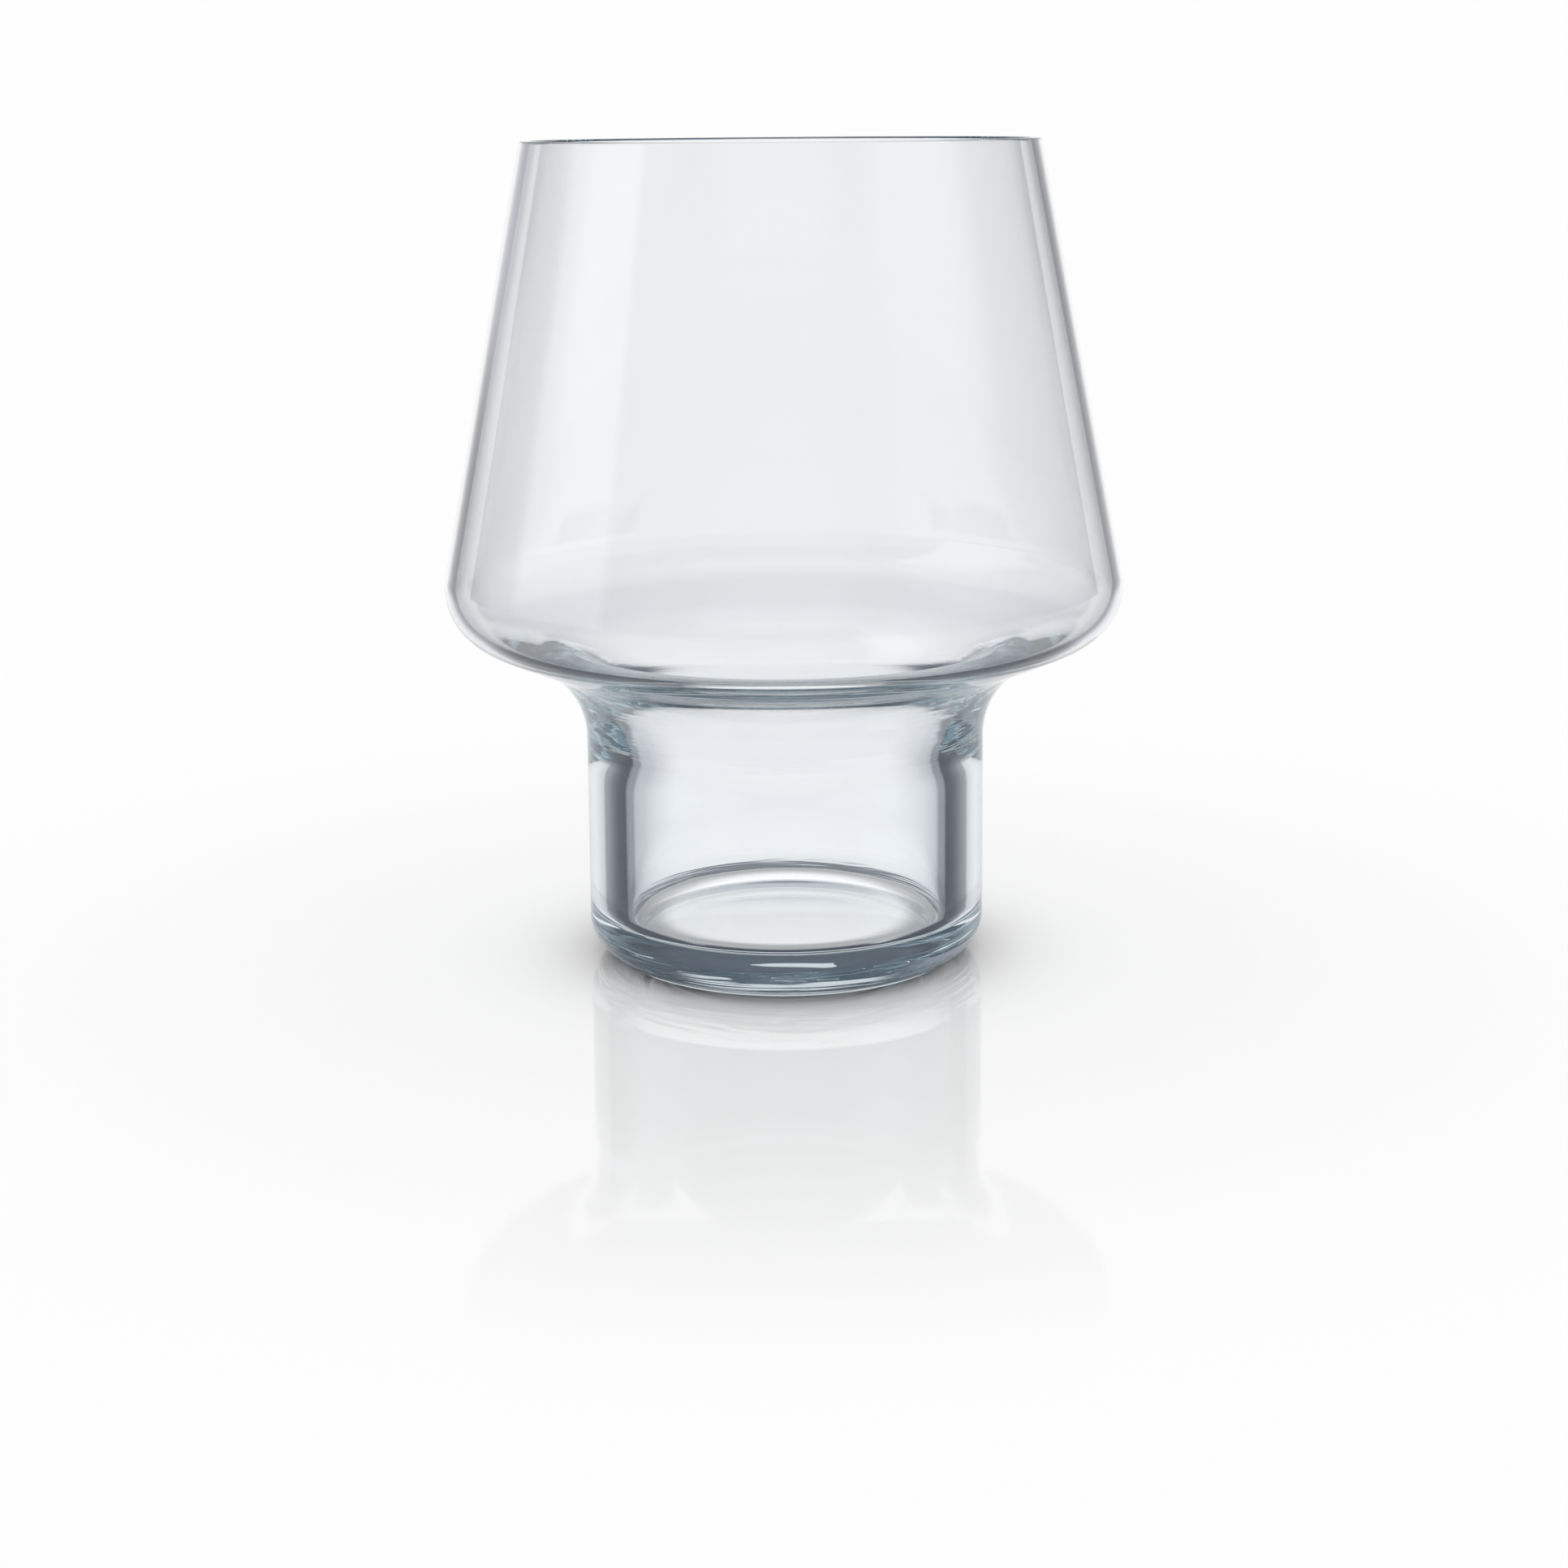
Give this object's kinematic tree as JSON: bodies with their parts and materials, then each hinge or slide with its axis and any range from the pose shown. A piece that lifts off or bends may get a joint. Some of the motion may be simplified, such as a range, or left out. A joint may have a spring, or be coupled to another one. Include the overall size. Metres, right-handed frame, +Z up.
{
  "type": "flower vase",
  "caption": "Clear glass flower vase shaped like a table lamp: a thin cone bell with a rounded shoulder, a hollow neck and a thick-walled round foot.",
  "frame": {"origin": "middle of the standing ring under the foot, on the surface that the vase stands on", "axes": "+Z up along the vase's axis of revolution; the vase is round, so X and Y are free"},
  "size_m": [0.174, 0.174, 0.21],
  "materials": {
    "clear_glass": "clear, polished, faintly blue-green where it is thick"
  },
  "bodies": {
    "root": {"rim": "clear_glass", "bell": "clear_glass", "shoulder": "clear_glass", "neck": "clear_glass", "foot_wall": "clear_glass", "foot_base": "clear_glass"}
  },
  "joints": []
}
